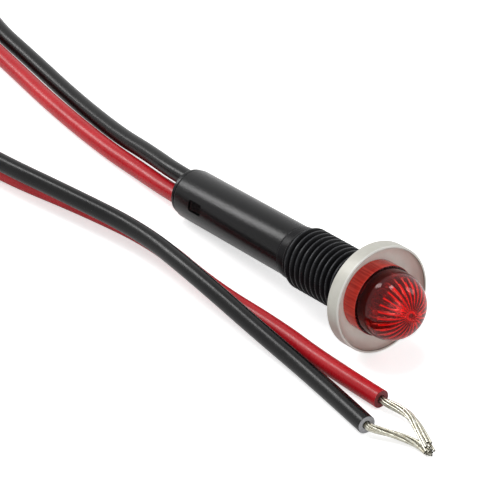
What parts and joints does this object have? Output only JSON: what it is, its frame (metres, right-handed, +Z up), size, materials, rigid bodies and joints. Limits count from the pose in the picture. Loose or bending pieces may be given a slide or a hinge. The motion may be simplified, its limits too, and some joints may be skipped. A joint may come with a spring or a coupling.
{
  "type": "neon indicator lamp",
  "caption": "Panel-mount neon indicator lamp with a domed red-orange lens, a satin metal bezel, a threaded black bushing and two wire leads.",
  "frame": {"origin": "on the surface the lamp lies on, below the middle of the lamp's box without its leads", "axes": "+X along the lamp towards the lens, level; +Z up"},
  "size_m": [0.1412, 0.0348, 0.0139],
  "materials": {
    "lens_red": "polished transparent red-orange plastic",
    "bezel_metal": "turned satin nickel",
    "bushing_black": "smooth moulded black plastic",
    "housing_black": "fine-textured moulded black plastic",
    "plug_black": "moulded black plastic",
    "grommet_grey": "soft silicone",
    "bulb_glass": "clear lamp glass",
    "electrode_nickel": "coated nickel",
    "tinned_wire": "tinned copper wire",
    "resistor_tan": "lacquered resistor body",
    "crimp_tin": "tinned crimp tube",
    "sleeve_white": "heat-shrink sleeve",
    "tinned_strand": "twisted tinned strands",
    "lead_black": "semi-gloss PVC insulation",
    "lead_red": "semi-gloss PVC insulation"
  },
  "bodies": {
    "root": {"lens": "lens_red", "bezel": "bezel_metal", "threaded_bushing": "bushing_black", "rear_housing": "housing_black", "rear_plug": "plug_black", "bulb_grommet": "grommet_grey", "bulb_envelope": "bulb_glass", "electrode_upper": "electrode_nickel", "electrode_lower": "electrode_nickel", "bulb_wire_upper": "tinned_wire", "bulb_wire_lower": "tinned_wire", "resistor_body": "resistor_tan", "resistor_front_wire": "tinned_wire", "resistor_rear_wire": "tinned_wire", "crimp_front": "crimp_tin", "crimp_black": "crimp_tin", "crimp_red": "crimp_tin", "sleeve_front": "sleeve_white", "sleeve_black": "sleeve_white", "sleeve_red": "sleeve_white", "return_wire_sleeve": "sleeve_white", "black_lead_tail": "tinned_strand", "red_lead_tail": "tinned_strand", "black_lead": "lead_black", "red_lead": "lead_red", "black_lead_tip": "tinned_strand", "red_lead_tip": "tinned_strand"}
  },
  "joints": []
}
